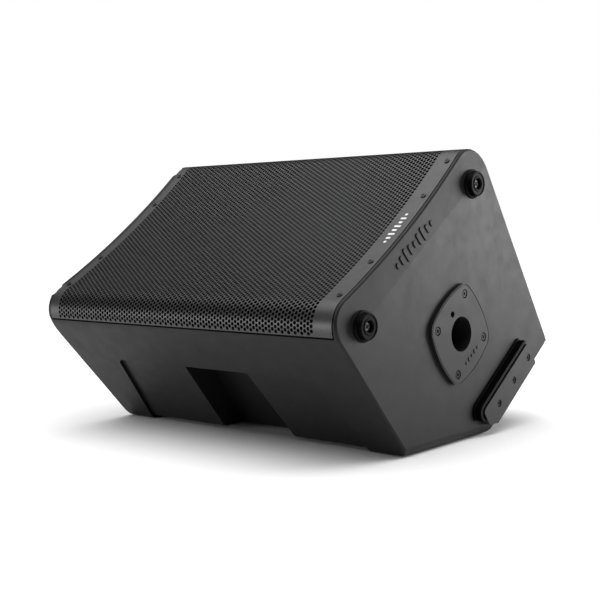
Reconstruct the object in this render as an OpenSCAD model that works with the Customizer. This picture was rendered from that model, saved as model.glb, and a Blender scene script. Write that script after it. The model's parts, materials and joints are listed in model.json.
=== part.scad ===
// Powered stage monitor wedge: a moulded cabinet that lies on its chamfer or stands on its end feet.
// Every sub-part is drawn in the cabinet's own frame and then leaned back:
//   x runs along the cabinet, u runs up the sloping front, n points out of the front.

/* [Cabinet] */
// Length of the cabinet between its end faces
cab_length = 431; // [425:1:440]
// Half of the cabinet's height across the front, level with the pole socket
half_height = 138; // [137:0.5:141]
// Draft of the two long side walls, in millimetres per millimetre of depth
wall_draft = 0.066; // [0.05:0.002:0.08]
// Distance from the pole socket's axis to the middle of the front
front_reach = 133; // [132:0.5:136]
// Radius of the shallow hollow across the front
front_radius = 1040; // [900:10:1300]
// Distance from the pole socket's axis to the back face
back_reach = 122.5; // [122:0.5:126]
// Radius of the two rolled front edges
nose_radius = 28; // [24:1:31]
// Wall thickness of the cabinet shell
wall = 4; // [3.5:0.1:4.2]
// How far the front leans back when the wedge lies on its chamfer, in degrees
recline = 35.25; // [33:0.25:38]
// Height of the pole socket's axis over the floor
pole_height = 111.6; // [110:0.2:114]

/* [Grille] */
// Thickness of the perforated sheet
grille_t = 1.2; // [1:0.1:1.5]
// Thickness of the foam behind the grille
foam_t = 5; // [3:0.5:5.5]
// Width of the dark gap between the grille's ends and the shell's rims
rim_gap = 1.4; // [1:0.1:2]

/* [Pole socket and feet] */
// Diameter of the pole socket's bore, for a standard 35 mm pole
pole_bore = 35.6; // [35.2:0.1:36.2]
// Depth of the pole socket's bore
pole_depth = 76; // [60:1:80]
// Spacing of the four screws in the pole socket's plate
plate_pitch = 58; // [54:1:60]
// Height of the feet on the end face
foot_height = 7.5; // [6:0.5:9]
// Distance of each round foot from the cabinet's centreline
foot_offset = 111.3; // [108:0.1:113]
// Distance of the round feet from the pole socket's axis, towards the front
foot_n = 106; // [104:0.5:107]

/* [Woofer and horn] */
// Place of the woofer's centre along the cabinet
woofer_x = 84; // [82:1:85]
// Outer radius of the woofer's basket
woofer_r = 102; // [98:1:102]
// Place of the horn's centre along the cabinet
horn_x = -110; // [-111:1:-109]

/* [Rear panel] */
// Depth of the recess that protects the knobs and plugs
panel_recess = 15.5; // [14:0.5:16]
// Diameter of the gain knobs
knob_d = 13; // [11:0.5:14]

/* [Hidden] */
$fn = 48;

half_len = cab_length / 2;
fit_gap = 0.3;          // standing gap between neighbouring pieces
thread_gap = 0.05;      // gap between a screw and the hole that it cuts
arc_steps = 8;

// Colours of the plain CAD model
plastic = "#2b2b2d";
steel_black = "#1c1c1e";
rubber = "#0e0e0e";
zinc = "#b9bcc0";
foam = "#151515";
board_green = "#1f5a35";
copper = "#b06a3a";

// Depths along n, from the front inwards
seam_n = 118.5;         // where the rolled grille meets the shell
seam_gap = 2;
board_top = 106;        // front face of the baffle board
board_t = 8;
crease_n = 105;         // where the end faces start to lean in towards the front
lean_in = 3.4;          // how far they lean in by the front edge

// Stations along x
grille_x0 = -half_len + 4.5;
grille_x1 = half_len - 7.5;
open_x0 = -half_len + 19;
open_x1 = half_len - 29;
open_u = 131;
cavity_x0 = -half_len + wall + 0.2;
cavity_x1 = grille_x1 + rim_gap;

// Draft of the far end face, which starts at draft_top and leans in towards the back
end_draft = 5.4;
draft_top = 95;

// ---------- the cabinet's outline, seen from an end, as points (u, n)
lean_s = sin(recline);
lean_c = cos(recline);

function unit(v) = v / norm(v);

// half height of the outline at depth n, moved in by d
function half_at(n, d) = half_height + wall_draft * n - d * sqrt(1 + wall_draft * wall_draft);

// front surface at height u, moved in by d
function front_at(u, d) = front_reach - d + u * u / (2 * (front_radius + d));

// the points that round corner b between its neighbours a and c
function corner_arc(a, b, c, r) = r <= 0.05 ? [b] :
    let (p = unit(a - b), q = unit(c - b), half = acos(p * q) / 2,
         centre = b + unit(p + q) * r / sin(half),
         from = b + p * r / tan(half) - centre, to = b + q * r / tan(half) - centre,
         a0 = atan2(from[1], from[0]), turn = atan2(to[1], to[0]) - a0,
         sweep = turn > 180 ? turn - 360 : turn < -180 ? turn + 360 : turn)
    [for (i = [0 : arc_steps]) let (t = a0 + sweep * i / arc_steps) centre + r * [cos(t), sin(t)]];

// a closed outline through corners [point, radius]
function rounded(corners) = let (count = len(corners))
    [for (i = [0 : count - 1]) each corner_arc(corners[(i + count - 1) % count][0],
        corners[i][0], corners[(i + 1) % count][0], corners[i][1])];

// the whole outline, moved in by d
function outline(d) =
    let (edge_n = front_at(half_height + 9, d), edge_u = half_at(edge_n, d),
         back = d - back_reach, back_u = half_at(back, d),
         heel_u = (d - pole_height - back * lean_c) / lean_s,
         base = half_height - d * sqrt(1 + wall_draft * wall_draft),
         toe_n = (d - pole_height + base * lean_s) / (lean_c - wall_draft * lean_s),
         toe_u = -(base + wall_draft * toe_n))
    rounded(concat(
        [[[edge_u, edge_n], nose_radius - d]],
        [for (k = [4 : -1 : -4]) [[k * 27, front_at(k * 27, d)], 0]],
        [[[-edge_u, edge_n], nose_radius - d]],
        [[[toe_u, toe_n], max(9 - d, 1)]],
        [[[heel_u, back], max(11 - d, 1)]],
        [[[back_u, back], max(8 - d, 1)]]));

outer_points = outline(0);
depths = [for (p = outer_points) p[0] * lean_c - p[1] * lean_s];
frame_y = -(min(depths) + max(depths)) / 2;
frame_x = -foot_height / 2;

// ---------- frames and extrusions
module cabinet_frame() {
    translate([frame_x, frame_y, pole_height]) rotate([recline, 0, 0]) children();
}

// extrudes a (u, n) shape along the cabinet
module along_x(x0, x1) {
    translate([x0, 0, 0]) rotate([90, 0, 90]) linear_extrude(x1 - x0) children();
}

// extrudes an (x, n) shape across the cabinet
module along_u(u0, u1) {
    translate([0, u1, 0]) rotate([90, 0, 0]) linear_extrude(u1 - u0) children();
}

// the cabinet's body between two stations, moved in by d
module slab(x0, x1, d) {
    along_x(x0, x1) polygon(outline(d));
}

// a block between two corners
module block(low, high) {
    translate(low) cube(high - low);
}

module ring(r_out, r_in, h) {
    difference() {
        cylinder(r = r_out, h = h);
        translate([0, 0, -1]) cylinder(r = r_in, h = h + 2);
    }
}

// places children on the near end face, pointing out of it
module on_end(u, n) {
    translate([half_len, u, n]) rotate([0, 90, 0]) children();
}

// places children on the rear panel's outer face, pointing out of it
panel_n = -back_reach + panel_recess;
panel_t = 2.5;
module on_panel(x, u) {
    translate([x, u, panel_n]) rotate([180, 0, 0]) children();
}

module at_woofer() {
    cabinet_frame() translate([woofer_x, 0, 0]) children();
}

module at_horn() {
    cabinet_frame() translate([horn_x, 0, 0]) children();
}

// a pan head screw with a cross recess; its head sits on z = 0
module cross_screw(head_r, head_h, shank_r, shank_len) {
    difference() {
        union() {
            cylinder(r = head_r, h = head_h);
            translate([0, 0, -shank_len]) cylinder(r = shank_r, h = shank_len);
        }
        for (turn = [0, 90]) rotate(turn)
            translate([-head_r * 0.6, -head_r * 0.13, head_h * 0.4])
                cube([head_r * 1.2, head_r * 0.26, head_h]);
    }
}

// ---------- cabinet shell
boss_x = [-180, -105, -30, 45, 125];
boss_u = 124;
boss_bottom = 70;
pocket_ceiling = 60.3;
pocket_floor_u = -106.7;
panel_depth = 3.4;      // depth of the recessed side panel
weld_gap = 0.02;        // gap left in the model at a welded joint

// the hand pocket's mouth as an (x, n) shape, grown by d
function pocket_mouth(d) = [[-34.8 - d, pocket_ceiling + d], [56.8 + d, pocket_ceiling + d],
    [70.8 + d, -90], [-42 - d, -90]];

// keeps what lies inside the far end face, moved in by d
module far_end_cut(d) {
    translate([-half_len + d, -200, draft_top]) rotate([0, -end_draft, 0])
        translate([-60, 0, -400]) cube([60, 400, 400]);
}

// the band of each end face in front of the crease leans in towards the front
module end_band_cuts() {
    for (side = [-1, 1]) along_u(-200, 200)
        polygon([[side * half_len, crease_n], [side * (half_len + 20), crease_n],
            [side * (half_len + 20), 200], [side * (half_len - lean_in * 2.2), 200],
            [side * (half_len - lean_in), front_reach]]);
}

module shell_body() {
    difference() {
        slab(-half_len, half_len, 0);
        far_end_cut(0);
        end_band_cuts();
        // between the rims the shell stops at the grille's seam
        block([grille_x0 - rim_gap / 2, -200, seam_n - seam_gap / 2],
            [grille_x1 + rim_gap, 200, 200]);
    }
}

module shell_cavity() {
    difference() {
        slab(cavity_x0, cavity_x1, wall);
        far_end_cut(wall);
        side_panel_skin(wall, panel_depth + wall);
    }
}

// what lies outside the depth d within the side panel's outline, grown by g
module side_panel_skin(g, d) {
    difference() {
        along_u(-200, -95) polygon(rounded([[[-140.5 - g, pocket_ceiling + g], 9],
            [[149 + g, pocket_ceiling + g], 9], [[175.5 + g, -80 - g], 0], [[-167 - g, -80 - g], 0]]));
        slab(-half_len - 5, half_len + 5, d);
    }
}

module pocket_box(d) {
    along_u(-200, pocket_floor_u + d) polygon(pocket_mouth(d));
}

recess_x0 = -130;
recess_x1 = 90;
recess_u0 = 4;
recess_u1 = 114;
ledge = 9;
frame_wall = 3.5;
module rear_recess(d, n0, n1) {
    block([recess_x0 - d, recess_u0 - d, n0], [recess_x1 + d, recess_u1 + d, n1]);
}

module screw_bosses() {
    for (x = boss_x, side = [-1, 1]) {
        translate([x, side * boss_u, boss_bottom]) cylinder(r = 6, h = board_top - board_t - boss_bottom);
        block([x - 1.5, side > 0 ? boss_u : -open_u - 10, boss_bottom],
            [x + 1.5, side > 0 ? open_u + 10 : -boss_u, board_top - board_t - 4]);
    }
}

module rear_shell() color(plastic) {
    difference() {
        cabinet_frame() difference() {
            union() {
                difference() {
                    shell_body();
                    shell_cavity();
                }
                intersection() {
                    slab(-half_len + 1, half_len - 1, 1);
                    screw_bosses();
                }
                // the ring that the pole socket's tube passes through
                translate([half_len - 12, 0, 0]) rotate([0, 90, 0]) cylinder(r = 46, h = 10);
                // seats of the round feet, and the pads behind them for their screws
                for (side = [-1, 1]) on_end(side * foot_offset, foot_n) {
                    translate([0, 0, -4]) cylinder(r = foot_base_r, h = 4);
                    translate([0, 0, -foot_pad]) cylinder(r = 6, h = foot_pad - 4);
                }
                intersection() {
                    slab(half_len - foot_pad, half_len - 4, 2);
                    for (i = [0 : 2]) translate([half_len - foot_pad, rail_screw_u(i), rail_screw_n])
                        rotate([0, 90, 0]) cylinder(r = 6, h = foot_pad - 4);
                }
            }
            pocket_box(0);
            side_panel_skin(0, panel_depth);
            rear_recess(0, -200, 0);
            // the twelve-sided hole that holds the pole socket's tube
            translate([half_len - 20, 0, 0]) rotate([0, 90, 0])
                cylinder(r = (pole_tube_r + 0.1) / cos(15), h = 40, $fn = 12);
            on_end(0, pin_hole_n) translate([0, 0, -30]) cylinder(r = 5.1, h = 40);
            for (a = [-1, 1], b = [-1, 1]) on_end(a * plate_pitch / 2, b * plate_pitch / 2)
                translate([0, 0, -20]) cylinder(r = 2 + thread_gap, h = 30);
            for (side = [-1, 1]) on_end(side * foot_offset, foot_n)
                translate([0, 0, -15]) cylinder(r = 2 + thread_gap, h = 20);
            for (i = [0 : 2]) on_end(rail_screw_u(i), rail_screw_n)
                translate([0, 0, -15]) cylinder(r = 1.75 + thread_gap, h = 20);
            for (x = boss_x, side = [-1, 1]) translate([x, side * boss_u, boss_bottom - 1])
                cylinder(r = 2 + thread_gap, h = 40);
        }
        floor_edge_rounds();
    }
}

// the cup welded behind the side wall, which keeps fingers out of the cabinet
module hand_pocket() color(plastic) cabinet_frame() {
    difference() {
        intersection() {
            slab(-half_len + 20, half_len - 20, panel_depth + wall + weld_gap);
            pocket_box(wall);
        }
        pocket_box(0);
    }
}

// the frame welded behind the rear wall, whose ledge holds the amplifier's panel
module panel_frame() color(plastic) cabinet_frame() {
    difference() {
        rear_recess(frame_wall, wall + weld_gap - back_reach, panel_n + panel_t + frame_wall);
        rear_recess(0, -200, panel_n + panel_t);
        rear_recess(-ledge, -200, 0);
        for (p = panel_screw_places) translate([p[0], p[1], panel_n])
            cylinder(r = 1.5 + thread_gap, h = 12);
    }
}

// the round edge where each end face meets the resting chamfer; the far end's draft sets its edge
// back from the end of the cabinet and turns it a little
edge_r = 11;
far_edge_back = 15.7;
far_edge_turn = 3.1;
module floor_edge_rounds() {
    translate([frame_x + half_len, 0, 0]) floor_edge_tool();
    translate([frame_x - half_len + far_edge_back, 0, 0]) rotate(-far_edge_turn) mirror([1, 0, 0])
        floor_edge_tool();
}

module floor_edge_tool() {
    difference() {
        block([-edge_r, -300, -5], [40, 300, edge_r]);
        translate([-edge_r, -301, edge_r]) rotate([-90, 0, 0]) cylinder(r = edge_r, h = 602);
    }
}

// ---------- baffle
horn_hole_r = 82;
woofer_hole_r = 92.5;
port_x = 164.5;
port_u = 106;
port_r = 19;

module baffle_blank() {
    union() {
        slab(cavity_x0 + fit_gap, cavity_x1 - fit_gap, wall + fit_gap);
        intersection() {
            slab(grille_x0, grille_x1, grille_t + 0.1);
            block([-300, -200, seam_n + seam_gap / 2], [300, 200, 200]);
        }
    }
}

module front_baffle() color(steel_black) cabinet_frame() {
    difference() {
        baffle_blank();
        block([-300, -200, -200], [300, 200, board_top - board_t]);
        // nothing of the baffle stands in front of the grille's back
        difference() {
            block([-300, -200, seam_n + seam_gap / 2], [300, 200, 200]);
            slab(-299, 299, grille_t + 0.1);
        }
        block([open_x0, -open_u, board_top], [open_x1, open_u, 200]);
        translate([woofer_x, 0, 0]) cylinder(r = woofer_hole_r, h = 150);
        translate([horn_x, 0, 0]) cylinder(r = horn_hole_r, h = 150);
        for (side = [-1, 1]) translate([port_x, side * port_u, 0])
            cylinder(r = port_r + 0.1, h = 150);
        // notches round the shell's pads for the foot screws
        for (side = [-1, 1]) on_end(side * foot_offset, foot_n) translate([0, 0, -foot_pad - fit_gap])
            cylinder(r = 6 + fit_gap, h = foot_pad);
        for (x = boss_x, side = [-1, 1]) translate([x, side * boss_u, 50])
            cylinder(r = 2.2, h = 100);
        for (p = grille_screw_places) on_grille(p[0], p[1]) translate([0, 0, -30])
            cylinder(r = 1.5 + thread_gap, h = 40);
        for (p = woofer_screw_places) translate([woofer_x + p[0], p[1], 80])
            cylinder(r = 2 + thread_gap, h = 40);
        for (p = horn_screw_places) translate([horn_x + p[0], p[1], 80])
            cylinder(r = 2 + thread_gap, h = 40);
    }
}

module case_screws() color(zinc) cabinet_frame() {
    for (x = boss_x, side = [-1, 1]) translate([x, side * boss_u, board_top])
        cross_screw(4, 2.4, 2, 32);
}

// ---------- grille
grille_screw_u = [-106.5, -52.5, 52.5, 106.5];
grille_screw_x = [grille_x0 + 8, grille_x1 - 7.5];
grille_screw_places = [for (x = grille_screw_x, u = grille_screw_u) [x, u]];

module grille() color(steel_black) cabinet_frame() {
    difference() {
        slab(grille_x0, grille_x1, 0);
        slab(grille_x0 - 5, grille_x1 + 5, grille_t);
        block([-300, -200, -300], [300, 200, seam_n + seam_gap / 2]);
        for (p = grille_screw_places) on_grille(p[0], p[1]) translate([0, 0, -30])
            cylinder(r = 1.8, h = 60);
    }
}

module grille_foam() color(foam) cabinet_frame() {
    intersection() {
        difference() {
            slab(open_x0 + 1, open_x1 - 1, grille_t + 0.2);
            slab(open_x0 - 5, open_x1 + 5, grille_t + 0.2 + foam_t);
        }
        block([open_x0, -open_u + 1, board_top + 5], [open_x1, open_u - 1, 200]);
    }
}

// places children just over the grille's face at (x, u), pointing out of it
module on_grille(x, u) {
    translate([x, u, front_at(u, 0) + 0.1]) rotate([atan(u / front_radius), 0, 0]) children();
}

module grille_screws() color(steel_black) cabinet_frame() {
    for (p = grille_screw_places) on_grille(p[0], p[1]) cross_screw(2.9, 1, 1.4, 14);
}

badge_x = half_len - 18.1;
badge_bars = [3, 5, 7.6, 5.4, 7.6, 4, 6.4, 3];  // lengths of the bars of a plain level meter
bar_pitch = 6.2;
module grille_badge() color("white") cabinet_frame() {
    for (i = [0 : len(badge_bars) - 1]) let (u = (i - (len(badge_bars) - 1) / 2) * bar_pitch + 1)
        on_grille(badge_x, u) translate([-badge_bars[i] / 2, -1.3, 0]) cube([badge_bars[i], 2.6, 0.4]);
}

// ---------- pole socket
pole_tube_r = 21;
pole_plate_t = 4;
pin_hole_n = 26;
plate_bulge = 44.5;     // from the socket's axis to the middle of each bulging side
plate_side_r = 111;

module pole_plate_body() {
    intersection() {
        intersection_for (turn = [0 : 90 : 270]) rotate(turn)
            translate([plate_bulge - plate_side_r, 0, 0])
                cylinder(r = plate_side_r, h = pole_plate_t, $fn = 180);
        cylinder(r = 51.3, h = pole_plate_t, $fn = 120);
    }
}

module pole_socket() color(plastic) cabinet_frame() {
    on_end(0, 0) difference() {
        union() {
            pole_plate_body();
            translate([0, 0, pole_plate_t - pole_depth - 4]) cylinder(r = pole_tube_r, h = pole_depth + 2);
            translate([-pin_hole_n, 0, -14]) cylinder(r = 5, h = 15);
        }
        translate([0, 0, pole_plate_t - pole_depth]) cylinder(r = pole_bore / 2, h = pole_depth + 1);
        translate([-pin_hole_n, 0, -12]) cylinder(r = 3.2, h = 40);
        for (a = [-1, 1], b = [-1, 1]) translate([a * plate_pitch / 2, b * plate_pitch / 2, 0]) {
            translate([0, 0, -1]) cylinder(r = 2.3, h = 10);
            translate([0, 0, pole_plate_t - 2.4]) cylinder(r = 4.7, h = 10);
        }
    }
}

module pole_socket_screws() color(zinc) cabinet_frame() {
    for (a = [-1, 1], b = [-1, 1]) on_end(a * plate_pitch / 2, b * plate_pitch / 2)
        translate([0, 0, pole_plate_t - 2.4]) cross_screw(3.7, 2, 2, 14);
}

// ---------- feet on the end face
foot_base_r = 15;
foot_top_r = 12.7;
foot_pad = 16;          // depth of the shell's pads for the foot screws
module round_feet() color(rubber) cabinet_frame() {
    for (side = [-1, 1]) on_end(side * foot_offset, foot_n) rotate_extrude()
        polygon([[2.2, 0], [foot_base_r, 0], [foot_base_r, 1.4], [foot_top_r + 0.4, 2.2],
            [foot_top_r, foot_height - 0.7], [foot_top_r - 0.7, foot_height],
            [foot_top_r - 1.6, foot_height], [foot_top_r - 1.9, foot_height - 0.8],
            [7.9, foot_height - 0.8], [7.5, foot_height], [6.3, foot_height], [5.2, foot_height - 1],
            [5.2, 2.5], [2.2, 2.5]]);
}

module foot_screws() color(steel_black) cabinet_frame() {
    for (side = [-1, 1]) on_end(side * foot_offset, foot_n)
        translate([0, 0, 2.5]) cross_screw(4, 2, 2, 14);
}

rail_pitch = 36.2;
rail_mid_u = 42.2;
rail_screw_n = -101.8;
rail_front_n = -81.5;   // front edge of the rubber's top
rail_plate_n = -88;     // front edge of the clamp plate
rail_top_u = 87;
rail_low_u = -28;
rail_groove = 2.4;      // depth of the groove beside the clamp plate
function rail_screw_u(i) = rail_mid_u + (i - 1) * rail_pitch;

// the resting chamfer's line, moved in by d, as n at height u
function chamfer_n(u, d) = (d - pole_height - u * lean_s) / lean_c;

module rail_foot_plate() color(plastic) cabinet_frame() {
    difference() {
        along_x(half_len, half_len + foot_height) polygon(rounded([
            [[rail_low_u + 7, rail_plate_n], 5], [[rail_top_u, rail_plate_n], 3],
            [[rail_top_u, -back_reach + 5.5], 2], [[-8, -back_reach + 5.5], 2],
            [[rail_low_u + 7, chamfer_n(rail_low_u + 7, 12)], 1]]));
        for (i = [0 : 2]) on_end(rail_screw_u(i), rail_screw_n) {
            translate([0, 0, -1]) cylinder(r = 2, h = 20);
            translate([0, 0, foot_height - 2.6]) cylinder(r = 3.9, h = 10);
        }
    }
}

module rail_foot_rubber() color(rubber) cabinet_frame() {
    difference() {
        union() {
            along_x(half_len, half_len + foot_height) polygon(rounded([
                [[rail_low_u, rail_front_n], 10], [[rail_top_u - 2, rail_front_n], 2],
                [[rail_top_u - 2, rail_plate_n + 0.3], 0],
                [[rail_low_u + 6.7, rail_plate_n + 0.3], 5],
                [[rail_low_u + 6.7, chamfer_n(rail_low_u, 12) + 3], 0],
                [[rail_low_u, chamfer_n(rail_low_u, 12) + 6], 2]]));
            along_x(half_len, half_len + 1.8) polygon(rounded([
                [[rail_low_u - 4, rail_front_n + 4], 12], [[rail_top_u - 4, rail_front_n + 4], 2],
                [[rail_top_u - 4, rail_front_n - 2], 0], [[rail_low_u + 3, rail_front_n - 2], 6],
                [[rail_low_u + 3, chamfer_n(rail_low_u, 14) + 4], 0],
                [[rail_low_u - 4, chamfer_n(rail_low_u - 4, 14) + 5], 2]]));
        }
        // the groove along the rubber, beside the plate
        along_x(half_len + foot_height - rail_groove, half_len + 20) polygon(rounded([
            [[rail_low_u + 3.4, rail_front_n - 3.4], 7], [[rail_top_u + 5, rail_front_n - 3.4], 0],
            [[rail_top_u + 5, rail_plate_n - 5], 0], [[rail_low_u + 6.6, rail_plate_n - 5], 0],
            [[rail_low_u + 6.6, -150], 0], [[rail_low_u + 3.4, -150], 0]]));
    }
}

module rail_foot_screws() color(zinc) cabinet_frame() {
    for (i = [0 : 2]) on_end(rail_screw_u(i), rail_screw_n)
        translate([0, 0, foot_height - 2.6]) cross_screw(3.2, 1.8, 1.75, 18);
}

// ---------- woofer
flange_n = 107.2;       // underside of the basket's flange
woofer_screw_places = [for (i = [0 : 7]) 97.5 * [cos(45 * i + 22.5), sin(45 * i + 22.5)]];

module woofer_gasket() color(foam) at_woofer() {
    difference() {
        translate([0, 0, board_top]) ring(woofer_r - 0.5, 93, flange_n - board_top);
        for (p = woofer_screw_places) translate([p[0], p[1], 90]) cylinder(r = 2.3, h = 40);
    }
}

module woofer_basket() color("#3a3a3c") at_woofer() {
    difference() {
        rotate_extrude($fn = 96) polygon([[woofer_r, flange_n], [woofer_r, flange_n + 3.8],
            [87, flange_n + 3.8], [87, flange_n + 1], [63.5, 68.5], [56, 68.5], [56, 58.2],
            [66, 58.2], [68, 62], [91.5, flange_n]]);
        for (i = [0 : 5]) rotate(60 * i) block([60, -18, 73], [100, 18, 98]);
        for (p = woofer_screw_places) translate([p[0], p[1], 80]) cylinder(r = 2.3, h = 40);
        // the hole that the voice coil moves in
        translate([0, 0, 40]) cylinder(r = 56, h = 28);
    }
}

module woofer_top_plate() color(zinc) at_woofer() {
    translate([0, 0, 50]) ring(66, 26.9, 8);
}

module woofer_magnet() color("#2a2a2e") at_woofer() {
    translate([0, 0, 34]) ring(70, 33, 15.9);
}

module woofer_yoke() color(zinc) at_woofer() {
    rotate_extrude($fn = 72) polygon([[9, 26], [64, 26], [66, 28], [66, 33.9], [27, 33.9], [24.2, 36],
        [24.2, 57.5], [23.2, 58.5], [9, 58.5]]);
}

module woofer_spider() color("#c8b070") at_woofer() {
    rotate_extrude($fn = 72) polygon([[25.7, 72.6], [25.7, 73.4], [31, 73.4], [34, 71.4], [37, 73.4],
        [40, 71.4], [43, 73.4], [46, 71.4], [49, 73.4], [52, 71.4], [56, 69.4], [62, 69.4], [62, 68.6],
        [55.6, 68.6], [52, 70.6], [49, 72.6], [46, 70.6], [43, 72.6], [40, 70.6], [37, 72.6],
        [34, 70.6], [31, 72.6]]);
}

module woofer_cone() color("#242424") at_woofer() {
    rotate_extrude($fn = 96) polygon([[25.6, 79], [25.6, 83], [50, 98], [76, 109.6], [79.5, 109.6],
        [79.5, 108.8], [76.4, 108.8], [50.6, 96.9], [27, 81.5]]);
}

module woofer_dust_cap() color("#1a1a1a") at_woofer() {
    intersection() {
        translate([0, 0, 55]) difference() {
            sphere(r = 43, $fn = 72);
            sphere(r = 42.2, $fn = 72);
        }
        translate([0, 0, 86]) cylinder(r = 29.9, h = 20);
    }
}

surround_mid = 85.6;
module woofer_surround() color(rubber) at_woofer() {
    translate([0, 0, flange_n + 4]) rotate_extrude($fn = 96) {
        difference() {
            translate([surround_mid, 0]) circle(r = 5.4);
            translate([surround_mid, 0]) circle(r = 4.6);
            translate([surround_mid - 20, -20]) square([40, 20]);
        }
        translate([surround_mid + 4.7, 0]) square([3, 0.8]);
    }
    translate([0, 0, 109.7]) ring(81, 76.5, 1.4);
}

module woofer_voice_coil() color(copper) at_woofer() {
    translate([0, 0, 47]) ring(25.5, 24.9, 36);
    translate([0, 0, 48.5]) ring(26.2, 25.5, 11);
}

module woofer_screws() color(steel_black) at_woofer() {
    for (p = woofer_screw_places) translate([p[0], p[1], flange_n + 3.8]) cross_screw(3.9, 2.2, 2, 12.8);
}

// ---------- horn and compression driver
horn_screw_places = [for (a = [-1, 1], u = [-104, -40, 40, 104]) [a * 78, u]];
throat_r = 18;
throat_n = 30;
mouth_r = 76;

module horn_waveguide() color("#202022") at_horn() {
    difference() {
        union() {
            block([-84, -113, board_top], [84, 113, board_top + 3]);
            rotate_extrude($fn = 96) polygon(concat([[0, throat_n]], horn_profile(2.6), [[0, board_top]]));
            translate([0, 0, throat_n - 5]) cylinder(r = 45, h = 5);
        }
        rotate_extrude($fn = 96) polygon(concat([[0, throat_n - 10], [throat_r, throat_n - 10]],
            horn_profile(0), [[mouth_r, board_top + 5], [0, board_top + 5]]));
        for (p = horn_screw_places) translate([p[0], p[1], 90]) cylinder(r = 2.3, h = 40);
        for (p = hf_bolts) translate([p[0], p[1], 0]) cylinder(r = 2.6, h = 60);
    }
}

// radius of the horn grows steadily faster from the throat to the mouth
function horn_profile(grow) = [for (i = [0 : 10]) let (t = i / 10)
    [throat_r + grow + (mouth_r - throat_r) * (0.45 * t + 0.55 * t * t),
     throat_n + (board_top - throat_n) * t]];

module horn_screws() color(steel_black) at_horn() {
    for (p = horn_screw_places) translate([p[0], p[1], board_top + 3]) cross_screw(3.9, 2.2, 2, 11);
}

hf_bolts = [for (i = [0 : 3]) 38 * [cos(90 * i + 45), sin(90 * i + 45)]];
module hf_driver_body() color("#4a4a4e") at_horn() {
    difference() {
        translate([0, 0, 3]) cylinder(r = 44, h = throat_n - 5 - 3);
        translate([0, 0, 0]) cylinder(r1 = 24, r2 = throat_r, h = 40);
        for (p = hf_bolts) translate([p[0], p[1], 0]) cylinder(r = 2.6, h = 60);
    }
    // phase plug, held on three webs
    intersection() {
        translate([0, 0, 3.6]) cylinder(r1 = 19, r2 = 3, h = 20);
        translate([0, 0, 3.6]) cylinder(r = 30, h = 20);
    }
    for (i = [0 : 2]) rotate(120 * i) block([1, -0.8, 5], [23.5, 0.8, 9]);
}

module hf_magnet() color("#2a2a2e") at_horn() {
    translate([0, 0, -9]) ring(41, 31.5, 11.9);
}

module hf_diaphragm() color("#c9ccd2") at_horn() {
    difference() {
        translate([0, 0, 22]) sphere(r = 35, $fn = 72);
        translate([0, 0, 22]) sphere(r = 34.5, $fn = 72);
        translate([0, 0, 47.2]) cube([100, 100, 100], center = true);
    }
    translate([0, 0, -4.6]) ring(23.6, 22.8, 5.4);
}

module hf_suspension() color(rubber) at_horn() {
    translate([0, 0, -3.6]) ring(31, 24.7, 0.5);
}

module hf_rear_cover() color("#4a4a4e") at_horn() {
    difference() {
        translate([0, 0, -26]) cylinder(r = 42.5, h = 17);
        translate([0, 0, -23]) cylinder(r = 39, h = 20);
    }
}

// ---------- ports and lining
module port_tubes() color("#202022") cabinet_frame() {
    for (side = [-1, 1]) translate([port_x, side * port_u, 0]) difference() {
        union() {
            translate([0, 0, board_top]) cylinder(r = 21.5, h = 2);
            translate([0, 0, 44]) cylinder(r = port_r, h = board_top - 43);
        }
        translate([0, 0, 40]) cylinder(r = port_r - 2, h = 80);
    }
}

module acoustic_lining() color("#6a6c70") cabinet_frame() {
    intersection() {
        difference() {
            slab(-185, 185, wall + fit_gap);
            slab(-200, 200, wall + fit_gap + 10);
        }
        block([-150, 100, -80], [190, 150, 62]);
    }
}

// ---------- amplifier and rear panel
panel_screw_places = [for (x = [recess_x0 + 5, -20, recess_x1 - 5])
    for (u = [recess_u0 + 5, recess_u1 - 5]) [x, u]];
socket_u = 84;
input_x = [-104, -70];
mix_x = -36;
knob_u = 50;
preset_x = -4;
aux_place = [-6, 94];
button_place = [-6, 76];
inlet_place = [-86, 24];
switch_place = [-36, 24];
light_places = [for (x = [-87, -53, -19]) [x, 67]];
board_n = -84;

module amp_panel() color("#232325") cabinet_frame() {
    difference() {
        rear_recess(-fit_gap, panel_n, panel_n + panel_t);
        for (p = panel_screw_places) translate([p[0], p[1], panel_n - 1]) cylinder(r = 1.8, h = 10);
        for (x = concat(input_x, [mix_x])) on_panel(x, socket_u) translate([0, 0, -10])
            cylinder(r = 12, h = 20);
        for (x = input_x) on_panel(x, socket_u) block([-4.1, -16, -10], [4.1, -8, 10]);
        for (x = concat(input_x, [mix_x, preset_x])) on_panel(x, knob_u) translate([0, 0, -10])
            cylinder(r = 3.9, h = 20);
        on_panel(aux_place[0], aux_place[1]) translate([0, 0, -10]) cylinder(r = 4.1, h = 20);
        on_panel(button_place[0], button_place[1]) block([-4.1, -4.1, -10], [4.1, 4.1, 10]);
        on_panel(inlet_place[0], inlet_place[1]) block([-14.2, -10.2, -10], [14.2, 10.2, 10]);
        on_panel(switch_place[0], switch_place[1]) block([-11.2, -7.2, -10], [11.2, 7.2, 10]);
        for (p = light_places) on_panel(p[0], p[1]) translate([0, 0, -10]) cylinder(r = 1.6, h = 20);
    }
}

module panel_screws() color(steel_black) cabinet_frame() {
    for (p = panel_screw_places) on_panel(p[0], p[1]) cross_screw(3.2, 1.8, 1.5, 9);
}

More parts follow.
